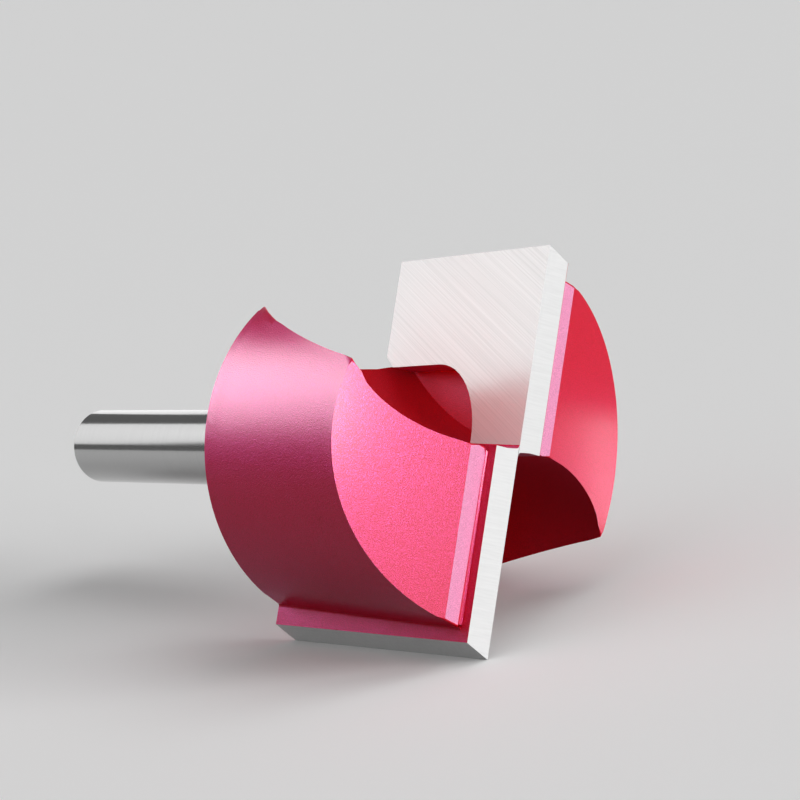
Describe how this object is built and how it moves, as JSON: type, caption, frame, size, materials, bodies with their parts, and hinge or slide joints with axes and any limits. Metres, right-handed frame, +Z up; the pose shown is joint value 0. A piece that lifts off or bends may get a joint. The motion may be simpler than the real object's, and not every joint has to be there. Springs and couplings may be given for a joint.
{
  "type": "surfacing router bit",
  "caption": "Surfacing router bit: a round shank and a coated, lobed head with sheared carbide tips brazed across its end, cutting at the end and the side.",
  "frame": {"origin": "centre of the bounding box's underside, on the surface that the bit lies on", "axes": "+X along the bit towards its cutting end, +Z up; the bit lies on one tip's side edge and the rear corner of the lobe beside it, with its axis 2.9 degrees from level"},
  "size_m": [0.0582, 0.0282, 0.0283],
  "materials": {
    "red_coat": "fine-grained glossy red coat on the head; the shank is bare ground steel",
    "ground_carbide": "ground, with fine diagonal marks",
    "silver_braze": "thin film, coated with the head"
  },
  "bodies": {
    "root": {"steel_body": "red_coat", "carbide_tip_1": "ground_carbide", "carbide_tip_2": "ground_carbide", "braze_joint_1": "silver_braze", "braze_joint_2": "silver_braze"}
  },
  "joints": []
}
